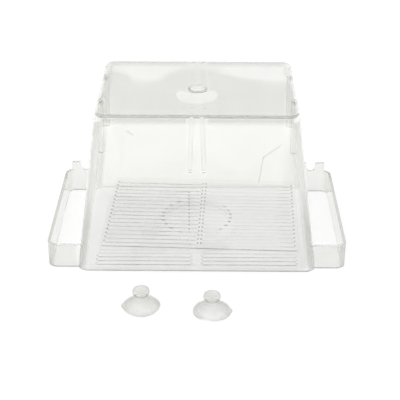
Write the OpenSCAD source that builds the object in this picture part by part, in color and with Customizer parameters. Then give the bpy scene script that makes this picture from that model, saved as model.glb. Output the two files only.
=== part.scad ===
// Fish breeding box of clear moulded plastic, lying rim down on its lid.
// The tub stands over the lid, the slotted separator lies loose between them,
// and two suction cups stand in front. +Z is up, and Z = 0 is the resting plane.

/* [Tub] */
// Outer width of the tub at its open rim
rim_w = 157; // [145:1:175]
// Outer depth of the tub at its open rim
rim_d = 117; // [108:1:135]
// Outer width of the tub at its closed end
end_w = 129; // [120:1:138]
// Outer depth of the tub at its closed end
end_d = 94; // [86:1:102]
// Height from the rim to the closed end
tub_h = 106.5; // [95:0.5:130]
// Thickness of the side walls
wall = 2; // [1.6:0.1:2.4]
// Thickness of the closed end
floor_t = 2; // [1.8:0.1:3]
// Plan radius of the upright corners, outside
corner_r = 7; // [5:0.5:9]
// Radius of the edge round the closed end
edge_r = 2.5; // [1.5:0.25:3.5]

/* [Moulding gate] */
// Diameter of the shallow dimple round the gate mark
dimple_d = 26; // [20:1:30]
// Depth of the dimple
dimple_depth = 1.6; // [0.8:0.1:2]
// Diameter of the gate ring, at the middle of its bead
gate_d = 11.6; // [8:0.2:14]
// Radius of the gate ring's bead
gate_bead_r = 0.7; // [0.5:0.05:0.9]

/* [Fins and guides] */
// Length of the fins and guides, from the closed end down
fin_len = 38; // [30:0.5:45]
// Distance of each side fin from the middle of its wall
fin_y = 20.6; // [14:0.2:28]
// Thickness of a side fin
fin_t = 1.8; // [1.4:0.1:2.6]
// How far a side fin stands out of its wall, at its free end
fin_reach = 6.4; // [4:0.1:9]
// Thickness of each guide rib in the end walls
guide_t = 2.4; // [1.6:0.1:3]
// How far a guide rib stands out of its wall
guide_reach = 4; // [3:0.1:6]
// Clear slot between a pair of guides, at the closed end
guide_slot = 3.8; // [2.4:0.1:5]
// Angle that each guide leans away from the slot
guide_lean = 2.4; // [0:0.1:4]
// Chamfer at the free end of the fins and guides
rib_tip = 1; // [0.5:0.1:2]
// How much further a fin or guide stands out at the closed end
rib_draft = 1; // [0:0.1:2]

/* [Ears] */
// How far the ears reach out past the rim on each side
ear_reach = 20; // [17:0.5:28]
// How far the ears are set back from the front and back of the rim
ear_setback = 4.5; // [3.5:0.5:8]
// Height of the ear bars
ear_h = 17; // [12:0.5:22]
// Thickness of the ear bars
ear_t = 2; // [1.6:0.1:2.8]
// Plan radius of the ears' outer corners, outside
ear_corner_r = 6; // [4:0.5:8]
// Width of each prong on the back bar
prong_w = 6.9; // [5:0.1:7.5]
// Height of the prongs above the ear bar
prong_h = 6.8; // [5.5:0.1:10]
// Distance from the rim's outer face to the middle of the notch, at the table
notch_out = 5.3; // [4.6:0.1:6]
// Gap round a suction cup's neck in the notch, on each side
notch_gap = 0.2; // [0.1:0.05:0.5]

/* [Lid] */
// Thickness of the lid's plate
lid_t = 2; // [1.6:0.1:2.6]
// Gap between the lid and the side walls at the rim
lid_side_gap = 1.5; // [1.3:0.1:2.5]
// Gap between the lid and the front wall at the rim
lid_front_gap = 1; // [0.6:0.1:2]
// Gap between the lid and the back wall at the rim
lid_back_gap = 2.1; // [1.9:0.1:4]
// Plan radius of the lid's corners
lid_corner_r = 8; // [6:0.5:10]
// How far the slotted panels stand proud of the lid's outer face
pad_t = 1; // [0.6:0.1:1.6]
// Width of the plain band between the two slotted panels
lid_band = 6; // [4:0.5:12]
// Width of each slotted panel
lid_panel_w = 64; // [50:1:67]
// Length of a slotted panel, from the lid's front edge back
lid_panel_d = 97; // [70:1:98]
// Distance between neighbouring slots in the lid
lid_pitch = 4.6; // [4:0.1:7]
// Width of a slot in the lid
lid_slot = 2.2; // [1.6:0.1:2.6]
// Plain border round the slots of a panel
lid_border = 1; // [0.6:0.1:2]

/* [Finger well] */
// Outer diameter of the well in the lid
well_d = 50; // [36:1:60]
// Height of the well's crown above the table
well_h = 8.9; // [7:0.1:12]
// Wall of the well
well_wall = 1.6; // [1.2:0.1:2.2]
// How much narrower the crown is than the foot of the well, on each side
well_draft = 0.6; // [0.3:0.1:1.5]

/* [Hinge] */
// Diameter of the hinge pins
pin_d = 3; // [2.4:0.1:3.4]
// Running gap round a hinge pin
pin_gap = 0.08; // [0.04:0.01:0.1]
// Distance from the back of the rim to the hinge axis
hinge_in = 14.5; // [13:0.5:18]
// Height of the hinge axis above the table
hinge_z = 4.6; // [4.2:0.1:5.4]
// Radius of the lugs that carry the pins
lug_r = 3.2; // [2.8:0.1:3.6]
// Thickness of the lugs that carry the pins
lug_t = 2.5; // [2:0.1:2.7]
// How far the lugs are set in from the lid's side edges
lug_inset = 0.1; // [0:0.05:0.2]
// How far a pin's end stays below the outside of the wall
pin_inset = 0.4; // [0.2:0.1:0.8]

/* [Separator] */
// Gap between the separator and the tub where it seats on the fins
sep_gap = 0.4; // [0.3:0.1:0.8]
// Thickness of the separator's plate
sep_t = 2; // [1.6:0.1:2.6]
// Plan radius of the separator's corners
sep_corner_r = 4; // [3:0.5:6]
// Height of the skirt round the separator, plate included
skirt_h = 4; // [3:0.1:5]
// Thickness of the skirt
skirt_t = 1.4; // [1:0.1:2]
// Width of the bar between the two rows of slots
sep_bar = 3.4; // [2.4:0.2:6]
// Distance between neighbouring slots in the separator
sep_pitch = 5.2; // [4.6:0.1:8]
// Width of a slot in the separator
sep_slot = 2.4; // [1.6:0.1:3]
// Plain border at the ends of the slots
sep_side_border = 3.9; // [3.2:0.1:6]
// Plain border in front of and behind the slots
sep_end_border = 5.8; // [4:0.1:9]
// Diameter of the small feet along the sides of the skirt
foot_d = 2.6; // [2:0.1:3.2]
// Number of slots from one foot to the next
foot_step = 4; // [2:1:6]

/* [Suction cups] */
// Diameter of a suction cup's rim
cup_d = 24; // [22:0.5:32]
// Height of a suction cup
cup_h = 12.8; // [12:0.2:18]
// Height of the dome, where the neck begins
dome_h = 6.4; // [5.5:0.1:7]
// Diameter of the neck
neck_d = 6; // [5:0.1:6.6]
// Diameter of the knob
knob_d = 10.8; // [9:0.1:13]
// Thickness of the knob
knob_t = 4; // [3.6:0.1:4.6]
// Depth of the hollow under the cup
cup_hollow = 3; // [2:0.1:3.4]
// How far the pull tab stands out of the cup's rim
tab_reach = 1.2; // [0.8:0.1:4]
// Width of the pull tab where it leaves the rim
tab_w = 7; // [4:0.5:9]
// Width of the pull tab at its tip
tab_tip_w = 2.4; // [1.5:0.1:4]

/* [Places at rest] */
// Sideways place of the separator
sep_x = 3.2; // [0:0.1:3.4]
// Fore-and-aft place of the separator
sep_y = 1; // [-1:0.1:1.4]
// Turn of the separator about the vertical
sep_turn = -2.3; // [-2.4:0.1:0]
// Gap between the separator and the well that it lies on
sep_rest_gap = 0.2; // [0.1:0.05:0.4]
// Sideways place of the left suction cup
cup_left_x = -34; // [-60:1:-20]
// Gap from the rim to the middle of the left suction cup
cup_left_out = 39.7; // [30:0.1:60]
// Sideways place of the right suction cup
cup_right_x = 10; // [0:1:60]
// Gap from the rim to the middle of the right suction cup
cup_right_out = 44.5; // [30:0.1:60]

/* [Hidden] */

eps = 0.01;
past = 1;
arc_fn = 32;
round_fn = 96;
clear_plastic = [0.86, 0.89, 0.90, 0.35];
clear_sheet = [0.80, 0.83, 0.88, 0.45];
soft_pvc = [0.80, 0.83, 0.84, 0.70];

// Slope of the side and end walls: how far each leans in for one unit of height
lean_x = (rim_w - end_w) / 2 / tub_h;
lean_y = (rim_d - end_d) / 2 / tub_h;

// Half the outer and half the inner width and depth of the tub at height z
function out_x(z) = rim_w / 2 - lean_x * z;
function out_y(z) = rim_d / 2 - lean_y * z;
function in_x(z) = out_x(z) - wall;
function in_y(z) = out_y(z) - wall;

ceiling_z = tub_h - floor_t;
inner_corner_r = corner_r - wall;
seat_z = tub_h - fin_len;

dimple_r = (pow(dimple_d / 2, 2) + pow(dimple_depth, 2)) / (2 * dimple_depth);
dimple_z = tub_h - dimple_depth + dimple_r;
ear_x = rim_w / 2 + ear_reach;
ear_y = rim_d / 2 - ear_setback;
notch_w = neck_d + 2 * notch_gap;
notch_x = rim_w / 2 + notch_out;
prong_round = 1;

lid_x = in_x(0) - lid_side_gap;
lid_front = -(in_y(0) - lid_front_gap);
lid_back = in_y(0) - lid_back_gap;
lid_top = pad_t + lid_t;
lid_slots = floor((lid_panel_d - 2 * lid_border - lid_slot) / lid_pitch) + 1;

hinge_y = rim_d / 2 - hinge_in;
lug_x = lid_x - lug_inset;
pin_end = out_x(hinge_z) - pin_inset;

sep_half_x = in_x(seat_z) - sep_gap;
sep_half_y = in_y(seat_z) - sep_gap;
sep_z = well_h + sep_rest_gap;
sep_slots = floor((2 * (sep_half_y - sep_end_border) - sep_slot) / sep_pitch) + 1;

// A row of count places, pitch apart, centred on zero
function row(count, pitch) = [for (i = [0 : count - 1]) (i - (count - 1) / 2) * pitch];

// Points along an arc of radius r about c, from angle a to angle b
function arc(c, r, a, b, steps = 8) =
    [for (i = [0 : steps]) c + r * [cos(a + (b - a) * i / steps), sin(a + (b - a) * i / steps)]];

// A rectangle with round corners, from one corner to the other
module round_rect(low, high, r) {
    size = high - low;
    translate([low.x + r, low.y]) square([size.x - 2 * r, size.y]);
    translate([low.x, low.y + r]) square([size.x, size.y - 2 * r]);
    for (x = [low.x + r, high.x - r], y = [low.y + r, high.y - r])
        translate([x, y]) circle(r, $fn = round_fn);
}

// The drafted block that the tub fills, with a rolled edge at its closed end
module tub_outside() {
    hull() {
        for (x = [-1, 1], y = [-1, 1]) {
            translate([x * (out_x(0) - corner_r), y * (out_y(0) - corner_r), 0])
                cylinder(r = corner_r, h = eps, $fn = arc_fn);
            translate([x * (out_x(tub_h) - corner_r), y * (out_y(tub_h) - corner_r), tub_h - edge_r])
                rotate_extrude($fn = arc_fn)
                    translate([corner_r - edge_r, 0]) circle(edge_r, $fn = arc_fn);
        }
    }
}

// The hollow of the tub, run past the rim
module tub_inside() {
    hull() {
        for (x = [-1, 1], y = [-1, 1], z = [-past, ceiling_z - eps])
            translate([x * (in_x(z) - inner_corner_r), y * (in_y(z) - inner_corner_r), z])
                cylinder(r = inner_corner_r, h = eps, $fn = arc_fn);
    }
}

// The open frames that stand out on both sides, drawn as one hoop round the tub
module ear_hoop() {
    linear_extrude(ear_h)
        difference() {
            round_rect([-ear_x, -ear_y], [ear_x, ear_y], ear_corner_r);
            round_rect([ear_t - ear_x, ear_t - ear_y], [ear_x - ear_t, ear_y - ear_t], ear_corner_r - ear_t);
        }
}

// Two prongs and the notch between them, standing on the back bar of the right ear
module hook() {
    low = notch_x - notch_w / 2 - prong_w;
    high = notch_x + notch_w / 2 + prong_w;
    translate([0, ear_y, 0])
        rotate([90, 0, 0])
            linear_extrude(ear_t)
                difference() {
                    union() {
                        translate([low, ear_h / 2]) square([high - low, ear_h / 2 + prong_h - prong_round]);
                        for (x = [low, notch_x + notch_w / 2])
                            translate([x + prong_round, ear_h + prong_h - prong_round - eps])
                                square([prong_w - 2 * prong_round, prong_round + eps]);
                        for (x = [low + prong_round, low + prong_w - prong_round,
                                  high - prong_w + prong_round, high - prong_round])
                            translate([x, ear_h + prong_h - prong_round]) circle(prong_round, $fn = arc_fn);
                    }
                    translate([notch_x, ear_h + notch_w / 2]) circle(d = notch_w, $fn = round_fn);
                    translate([notch_x - notch_w / 2, ear_h + notch_w / 2]) square([notch_w, prong_h]);
                }
}

// Outline of a rib in a wall that leans: its back lies in the wall, its tip is free
function rib_outline(half_seat, half_ceiling, reach) = [
    [half_seat + wall / 2, seat_z],
    [half_seat - reach + rib_tip, seat_z],
    [half_seat - reach, seat_z + rib_tip],
    [half_seat - reach - rib_draft, ceiling_z + floor_t / 2],
    [half_ceiling + wall / 2, ceiling_z + floor_t / 2]
];

// Two fins in each side wall, whose free ends carry the separator
module side_fins() {
    for (side = [0, 1], y = [-fin_y, fin_y])
        mirror([side, 0, 0])
            translate([0, y + fin_t / 2, 0])
                rotate([90, 0, 0])
                    linear_extrude(fin_t)
                        polygon(rib_outline(in_x(seat_z), in_x(ceiling_z), fin_reach));
}

// A pair of leaning guide ribs in the front wall and in the back wall
module divider_guides() {
    for (end = [0, 1], side = [0, 1])
        mirror([0, end, 0])
            mirror([side, 0, 0])
                translate([guide_slot / 2, 0, ceiling_z])
                    rotate([0, -guide_lean, 0])
                        translate([guide_t, 0, -ceiling_z])
                            rotate([90, 0, 90])
                                mirror([0, 0, 1])
                                    linear_extrude(guide_t)
                                        polygon(rib_outline(in_y(seat_z), in_y(ceiling_z), guide_reach));
}

// The boss behind the dimple: a shallow cap that keeps the closed end's thickness
module dimple_boss() {
    intersection() {
        translate([0, 0, dimple_z]) sphere(dimple_r + floor_t, $fn = round_fn);
        translate([0, 0, ceiling_z - dimple_depth])
            cylinder(d = dimple_d + 2 * floor_t, h = dimple_depth + eps, $fn = round_fn);
    }
}

// The tub: drafted walls and closed end, ears with hooks, fins and guides in one moulding
module tub() {
    color(clear_plastic)
    difference() {
        union() {
            difference() {
                union() {
                    tub_outside();
                    ear_hoop();
                    for (side = [0, 1])
                        mirror([side, 0, 0]) hook();
                }
                tub_inside();
            }
            side_fins();
            divider_guides();
            dimple_boss();
            translate([0, 0, tub_h - dimple_depth])
                rotate_extrude($fn = round_fn)
                    translate([gate_d / 2, gate_bead_r / 2]) circle(gate_bead_r, $fn = arc_fn);
        }
        difference() {
            translate([0, 0, dimple_z]) sphere(dimple_r, $fn = round_fn);
            translate([0, 0, tub_h - dimple_depth - past])
                rotate_extrude($fn = round_fn)
                    translate([gate_d / 2 - gate_bead_r, 0])
                        square([2 * gate_bead_r, past + dimple_depth / 2]);
        }
        for (side = [0, 1])
            mirror([side, 0, 0])
                translate([in_x(0) - 2 * wall, hinge_y, hinge_z])
                    rotate([0, 90, 0])
                        cylinder(r = pin_d / 2 + pin_gap, h = 4 * wall, $fn = round_fn);
    }
}

// One slotted panel of the lid, on the right of the band: its pad, or its slots
module lid_pad() {
    translate([lid_band / 2, lid_front]) square([lid_panel_w, lid_panel_d]);
}

module lid_slots() {
    middle = lid_front + lid_panel_d / 2;
    for (y = row(lid_slots, lid_pitch))
        translate([lid_band / 2 + lid_border, middle + y - lid_slot / 2])
            square([lid_panel_w - 2 * lid_border, lid_slot]);
}

// The crown of the finger well: a drafted drum with a rolled edge
module well_drum(r, h) {
    roll = 1.2;
    rotate_extrude($fn = round_fn)
        polygon(concat([[0, 0], [r, 0]],
                       arc([r - well_draft - roll, h - roll], roll, 0, 90),
                       [[0, h]]));
}

// The lid: a plate with two slotted panels, the finger well and two hinge lugs with pins
module lid() {
    color(clear_plastic)
    union() {
        difference() {
            union() {
                translate([0, 0, pad_t])
                    linear_extrude(lid_t)
                        round_rect([-lid_x, lid_front], [lid_x, lid_back], lid_corner_r);
                for (side = [0, 1])
                    mirror([side, 0, 0])
                        linear_extrude(pad_t + eps)
                            lid_pad();
                translate([0, 0, pad_t]) well_drum(well_d / 2, well_h - pad_t);
            }
            translate([0, 0, -eps])
                linear_extrude(lid_top + 2 * eps)
                    difference() {
                        for (side = [0, 1])
                            mirror([side, 0]) lid_slots();
                        circle(d = well_d + 2 * lid_border, $fn = round_fn);
                    }
            translate([0, 0, -eps]) well_drum(well_d / 2 - well_wall, well_h - well_wall + eps);
        }
        for (side = [0, 1])
            mirror([side, 0, 0]) hinge_lug();
    }
}

// The lug that stands on the lid's right edge, with its pin pointing out
module hinge_lug() {
    translate([lug_x - lug_t, hinge_y, 0])
        rotate([90, 0, 90])
            linear_extrude(lug_t) {
                translate([-lug_r, pad_t]) square([2 * lug_r, hinge_z - pad_t]);
                translate([0, hinge_z]) circle(lug_r, $fn = round_fn);
            }
    translate([lug_x - eps, hinge_y, hinge_z])
        rotate([0, 90, 0])
            cylinder(d = pin_d, h = pin_end - lug_x + eps, $fn = round_fn);
}

// The slots of the separator on the right of its bar
module sep_slot_row() {
    for (y = row(sep_slots, sep_pitch))
        translate([sep_bar / 2, y - sep_slot / 2])
            square([sep_half_x - sep_side_border - sep_bar / 2, sep_slot]);
}

// The separator: a slotted plate with a skirt and small feet, turned a little as it lies
module separator() {
    half = [sep_half_x, sep_half_y];
    inset = [skirt_t, skirt_t];
    foot_pitch = foot_step * sep_pitch;
    feet = 2 * floor((sep_half_y - sep_corner_r) / foot_pitch) + 1;
    color(clear_sheet)
    translate([sep_x, sep_y, sep_z + sep_t - skirt_h])
        rotate(sep_turn) {
            translate([0, 0, skirt_h - sep_t])
                linear_extrude(sep_t)
                    difference() {
                        round_rect(-half, half, sep_corner_r);
                        for (side = [0, 1])
                            mirror([side, 0]) sep_slot_row();
                    }
            linear_extrude(skirt_h - sep_t + eps)
                difference() {
                    round_rect(-half, half, sep_corner_r);
                    round_rect(inset - half, half - inset, sep_corner_r - skirt_t);
                }
            for (x = [-1, 1], y = row(feet, foot_pitch))
                translate([x * (sep_half_x - foot_d / 2 - skirt_t / 2), y, 0])
                    cylinder(d = foot_d, h = skirt_h - sep_t + eps, $fn = arc_fn);
        }
}

// A suction cup: hollow dome, neck, dished knob and a pull tab that points to angle turn
module suction_cup(turn) {
    lip = 0.8;
    rim_r = cup_d / 2;
    neck_r = neck_d / 2;
    knob_r = knob_d / 2;
    knob_z = cup_h - knob_t;
    roll = 1.6;
    dish = 0.7;
    hollow_r = rim_r - lip;
    dome_bulge = 0.75;
    dome_rise = 0.9;
    sphere_r = (pow(hollow_r, 2) + pow(cup_hollow, 2)) / (2 * cup_hollow);
    color(soft_pvc)
    difference() {
        union() {
            rotate_extrude($fn = round_fn)
                polygon(concat(
                    [[0, 0], [rim_r, 0], [rim_r, lip / 2]],
                    [for (t = [0.1 : 0.1 : 1.01])
                        [neck_r + (rim_r - neck_r) * pow(max(0, 1 - t), dome_bulge),
                         lip / 2 + (dome_h - lip / 2) * pow(t, dome_rise)]],
                    [[neck_r, knob_z]],
                    arc([knob_r - roll, knob_z + roll], roll, -80, 0, 5),
                    arc([knob_r - roll, cup_h - roll], roll, 0, 90, 5),
                    [[knob_r / 2, cup_h - dish], [0, cup_h - dish]]));
            rotate(turn)
                linear_extrude(lip)
                    polygon([[hollow_r, -tab_w / 2], [rim_r + tab_reach, -tab_tip_w / 2],
                             [rim_r + tab_reach, tab_tip_w / 2], [hollow_r, tab_w / 2]]);
        }
        translate([0, 0, cup_hollow - sphere_r]) sphere(sphere_r, $fn = round_fn);
    }
}

module suction_cup_left() {
    translate([cup_left_x, -(rim_d / 2 + cup_left_out), 0]) suction_cup(180);
}

module suction_cup_right() {
    translate([cup_right_x, -(rim_d / 2 + cup_right_out), 0]) suction_cup(0);
}

tub();
lid();
separator();
suction_cup_left();
suction_cup_right();
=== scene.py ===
# %% [markdown]
# # A fish breeding box of clear moulded plastic
# The real object is a small clear tank that hangs inside an aquarium: a drafted tub
# with two open ears, a lid, a slotted separator and two soft suction cups. Here it lies
# upside down on a white table, rim and lid below, with the two cups in front of it.
# The imported CAD model is the fixed frame. It is loaded first, so that every piece made later can be
# placed on it with no fitting.

# %% Load the frame
import math

import bmesh
import bpy
from mathutils import Matrix, Vector


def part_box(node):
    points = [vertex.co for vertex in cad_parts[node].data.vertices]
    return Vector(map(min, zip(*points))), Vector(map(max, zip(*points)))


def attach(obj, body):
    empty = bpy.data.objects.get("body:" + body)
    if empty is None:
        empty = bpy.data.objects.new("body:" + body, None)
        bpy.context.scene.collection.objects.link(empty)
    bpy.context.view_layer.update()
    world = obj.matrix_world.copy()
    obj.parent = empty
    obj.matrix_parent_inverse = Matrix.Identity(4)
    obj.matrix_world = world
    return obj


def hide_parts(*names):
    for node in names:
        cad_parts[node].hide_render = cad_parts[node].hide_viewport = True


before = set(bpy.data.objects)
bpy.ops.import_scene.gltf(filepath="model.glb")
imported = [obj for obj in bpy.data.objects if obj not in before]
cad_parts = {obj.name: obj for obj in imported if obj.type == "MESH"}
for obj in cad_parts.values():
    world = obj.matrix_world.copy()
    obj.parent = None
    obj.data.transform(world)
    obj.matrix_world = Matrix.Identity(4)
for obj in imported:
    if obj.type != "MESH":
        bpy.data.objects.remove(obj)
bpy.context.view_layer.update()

# %% [markdown]
# ## Small helpers
# All sizes below are in metres, and MM turns millimetres into them. A finished piece
# keeps its object at the origin with its place in its mesh, as the CAD nodes do, so one
# helper makes an object from a mesh and another turns a modifier stack into plain mesh.

# %% Helpers for pieces
MM = 0.001


def new_piece(name, mesh):
    """An object for this mesh, at the origin of the scene."""
    piece = bpy.data.objects.new(name, mesh)
    bpy.context.scene.collection.objects.link(piece)
    return piece


def apply_modifiers(piece):
    """Turns the piece's modifier stack into its own plain mesh."""
    bpy.context.view_layer.update()
    evaluated = piece.evaluated_get(bpy.context.evaluated_depsgraph_get())
    mesh = bpy.data.meshes.new_from_object(evaluated)
    old = piece.data
    piece.modifiers.clear()
    piece.data = mesh
    bpy.data.meshes.remove(old)
    mesh.name = piece.name
    return piece


def report(piece):
    """Prints how many faces a piece has and where it lies, in millimetres."""
    points = [v.co for v in piece.data.vertices]
    low = [round(1000 * min(p[i] for p in points), 1) for i in range(3)]
    high = [round(1000 * max(p[i] for p in points), 1) for i in range(3)]
    print(f"{piece.name}: {len(piece.data.polygons)} faces, from {low} to {high} mm")


print("helpers ready")

# %% [markdown]
# ## The camera
# The box is seen from the front and well above the table, with a long lens that keeps
# its sides nearly parallel. The camera's own axes are worked out from three angles and
# written into its matrix: a matrix can't be misread, while a chain of turns can.
#
# A ray may cross eight see-through layers before Cycles gives up and returns black. The slotted sheets have
# many more skins than that one behind the other, so the limit is raised here.

# %% Camera
CAMERA_AT = Vector((0.0059, -0.6103, 0.3637))
PITCH, YAW, ROLL = math.radians(29.31), math.radians(0.39), math.radians(0.15)
FOCAL, SENSOR = 90, 36       # millimetres
NEAR, FAR = 0.01, 50         # how close and how far the camera sees, in metres
MOST_LAYERS = 32             # see-through layers that a ray may cross

forward = Vector((-math.sin(YAW) * math.cos(PITCH), math.cos(YAW) * math.cos(PITCH), -math.sin(PITCH)))
level = Vector((math.cos(YAW), math.sin(YAW), 0))
upward = level.cross(forward)
across = level * math.cos(ROLL) + upward * math.sin(ROLL)
upward = upward * math.cos(ROLL) - level * math.sin(ROLL)

lens = bpy.data.cameras.new("camera")
lens.lens, lens.sensor_width = FOCAL, SENSOR
lens.clip_start, lens.clip_end = NEAR, FAR
camera = bpy.data.objects.new("camera", lens)
camera.matrix_world = Matrix((
    (across.x, upward.x, -forward.x, CAMERA_AT.x),
    (across.y, upward.y, -forward.y, CAMERA_AT.y),
    (across.z, upward.z, -forward.z, CAMERA_AT.z),
    (0, 0, 0, 1),
))
bpy.context.scene.collection.objects.link(camera)
bpy.context.scene.camera = camera
bpy.context.scene.view_settings.view_transform = "Standard"
bpy.context.scene.cycles.transparent_max_bounces = MOST_LAYERS
print("camera at", [round(v, 3) for v in CAMERA_AT], "with a", lens.lens, "mm lens")

# %% [markdown]
# ## Helpers for node trees
# A material is a small graph of nodes. These helpers add a node with its settings and
# join sockets, so that each material below reads as a list of what it is made of. The
# last one sets the nodes out in columns, for a reader who opens the graph in the editor.

# %% Helpers for node trees
def join(tree, value, socket):
    """Joins an output socket to an input socket, or writes a plain value into it."""
    if isinstance(value, bpy.types.NodeSocket):
        tree.links.new(value, socket)
    else:
        socket.default_value = value


def add(tree, kind, inputs=None, **settings):
    """Adds a node with its settings, and joins or writes its inputs, by name or number."""
    node = tree.nodes.new(kind)
    for key, value in settings.items():
        setattr(node, key, value)
    for key, value in (inputs or {}).items():
        join(tree, value, node.inputs[key])
    return node


print("node helpers ready")


# %% Helpers for whole trees
def new_material(name):
    """An empty material and its tree."""
    material = bpy.data.materials.new(name)
    material.use_nodes = True
    material.node_tree.nodes.clear()
    return material, material.node_tree


def new_group(name, inputs, outputs):
    """A shader node group with named inputs, each with its usual value, and named outputs."""
    group = bpy.data.node_groups.new(name, "ShaderNodeTree")
    for label, kind, value in inputs:
        socket = group.interface.new_socket(label, in_out="INPUT", socket_type=kind)
        if value is not None:
            socket.default_value = value
    for label, kind in outputs:
        group.interface.new_socket(label, in_out="OUTPUT", socket_type=kind)
    return group, add(group, "NodeGroupInput"), add(group, "NodeGroupOutput")


COLUMN_STEP, ROW_STEP = 220, 260     # spacing of the nodes in the editor


def set_out(tree):
    """Puts the nodes in columns, each one to the left of all that it feeds."""
    column = {node.name: 0 for node in tree.nodes}
    for _ in tree.nodes:
        for link in tree.links:
            source, target = link.from_node.name, link.to_node.name
            column[source] = max(column[source], column[target] + 1)
    filled = {}
    for node in tree.nodes:
        place = column[node.name]
        filled[place] = filled.get(place, 0) + 1
        node.location = (-COLUMN_STEP * place, -ROW_STEP * filled[place])


def finish_material(tree, **ends):
    """Adds the output node, joins what ends there and sets the nodes out."""
    add(tree, "ShaderNodeOutputMaterial", ends)
    set_out(tree)


print("tree helpers ready")

# %% [markdown]
# ## Sums and masks
# What makes a surface look real is where it changes, so most nodes below work out masks:
# numbers from 0 to 1 that say how much of something there is at a point. They start from
# the object's own coordinates, so they stay on the object when it moves, and they are
# built from a few plain steps: a soft step, a band, a disc, a ring, a line and stripes.

# %% Helpers for sums
def calc(tree, operation, *values):
    """A Math node on sockets or numbers."""
    return add(tree, "ShaderNodeMath", dict(enumerate(values)), operation=operation).outputs[0]


def vector_calc(tree, operation, *values, scale=None):
    """A Vector Math node: gives a number for distances and dot products, and else a vector."""
    inputs = dict(enumerate(values))
    if scale is not None:
        inputs["Scale"] = scale
    node = add(tree, "ShaderNodeVectorMath", inputs, operation=operation)
    return node.outputs["Value" if operation in ("DISTANCE", "DOT_PRODUCT") else "Vector"]


def vector(tree, x, y, z):
    """A Combine XYZ node on three sockets or numbers."""
    return add(tree, "ShaderNodeCombineXYZ", {0: x, 1: y, 2: z}).outputs[0]


def axes_of(tree, value):
    """The three numbers of a vector socket."""
    return tuple(add(tree, "ShaderNodeSeparateXYZ", {0: value}).outputs)


print("sum helpers ready")


# %% Helpers for what is worked out often
def times(tree, first, *others):
    """Multiplies sockets or numbers."""
    for other in others:
        first = calc(tree, "MULTIPLY", first, other)
    return first


def plus(tree, first, *others):
    """Adds sockets or numbers."""
    for other in others:
        first = calc(tree, "ADD", first, other)
    return first


def opposite(tree, mask):
    """One minus a mask."""
    return calc(tree, "SUBTRACT", 1.0, mask)


def blend(tree, factor, a, b, kind="RGBA"):
    """Blends two colours or vectors by a mask."""
    first, result = {"RGBA": (6, 2), "VECTOR": (4, 1)}[kind]     # the node numbers its sockets by kind
    node = add(tree, "ShaderNodeMix", {0: factor, first: a, first + 1: b}, data_type=kind)
    return node.outputs[result]


def noise(tree, spot, scale, detail, roughness=0.5):
    """A Noise Texture at a point."""
    inputs = {"Vector": spot, "Scale": scale, "Detail": detail, "Roughness": roughness}
    return add(tree, "ShaderNodeTexNoise", inputs).outputs[0]


print("product, blend and noise helpers ready")


# %% Helpers for masks
def step(tree, value, low, high, first=0.0, last=1.0, smooth=True):
    """A number that goes from first to last while a socket goes from low to high."""
    inputs = {"Value": value, "From Min": low, "From Max": high, "To Min": first, "To Max": last}
    way = "SMOOTHSTEP" if smooth else "LINEAR"
    return add(tree, "ShaderNodeMapRange", inputs, interpolation_type=way).outputs[0]


def between(tree, value, low, high, soft=0.1 * MM):
    """A mask that is 1 where a socket lies between two values."""
    return times(tree, step(tree, value, low - soft, low + soft),
                 step(tree, value, high + soft, high - soft))


def near_point(tree, spot, centre, radius, soft):
    """A mask that is 1 within a radius of a point, seen from above."""
    flat = vector_calc(tree, "MULTIPLY", spot, (1, 1, 0))
    return step(tree, vector_calc(tree, "DISTANCE", flat, centre), radius + soft, radius)


def near_ring(tree, spot, centre, inner, outer, soft):
    """A mask that is 1 between two radii round a point, seen from above."""
    return times(tree, near_point(tree, spot, centre, outer, soft),
                 opposite(tree, near_point(tree, spot, centre, inner, soft)))


def near_segment(tree, spot, a, b, width, keep, core=0.3):
    """A mask along a straight line from a to b, measured along the axes that are kept.

    It is full over the core, which is a share of the width.
    """
    start, end = Vector(a), Vector(b)
    along = end - start
    flat = vector_calc(tree, "MULTIPLY_ADD", spot, keep, -start)
    share = vector_calc(tree, "DOT_PRODUCT", flat, along / along.length_squared)
    foot = vector_calc(tree, "SCALE", along, scale=add(tree, "ShaderNodeClamp", {0: share}).outputs[0])
    return step(tree, vector_calc(tree, "DISTANCE", flat, foot), width, core * width)


def stripes(tree, value, first, pitch, width, soft=0.12):
    """A mask of stripes: each one starts at first plus a whole number of pitches."""
    share = calc(tree, "FRACT", calc(tree, "MULTIPLY_ADD", value, 1 / pitch, -first / pitch))
    edge = width / pitch
    return step(tree, share, edge + soft * edge, edge - soft * edge)


print("mask helpers ready")

# %% [markdown]
# ## Table, world and light
# Clear plastic has almost no colour of its own: what it shows is the room around it,
# bent and dimmed. So the table is white, and the world is white low down, where the
# light tent ends, and grey above that. The plastic's edges pick up the grey, and the
# top face mirrors the line where the tent ends. The table is plain white paint with a
# little glow for the camera and for what mirrors it, so it looks white and still keeps
# the object's shadow.

# %% Table
TABLE_GLOW = 0.24
TABLE_HALF = 6                # half its width, in metres
TABLE_TOP = -0.2 * MM         # just under the object, so that no two faces share a plane
TABLE_WHITE = (0.86, 0.86, 0.86, 1)

corners = [(x, y, TABLE_TOP) for x, y in ((-1, -1), (1, -1), (1, 1), (-1, 1))]
floor_mesh = bpy.data.meshes.new("table")
floor_mesh.from_pydata([(TABLE_HALF * x, TABLE_HALF * y, z) for x, y, z in corners], [], [(0, 1, 2, 3)])
table = new_piece("table", floor_mesh)

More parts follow.
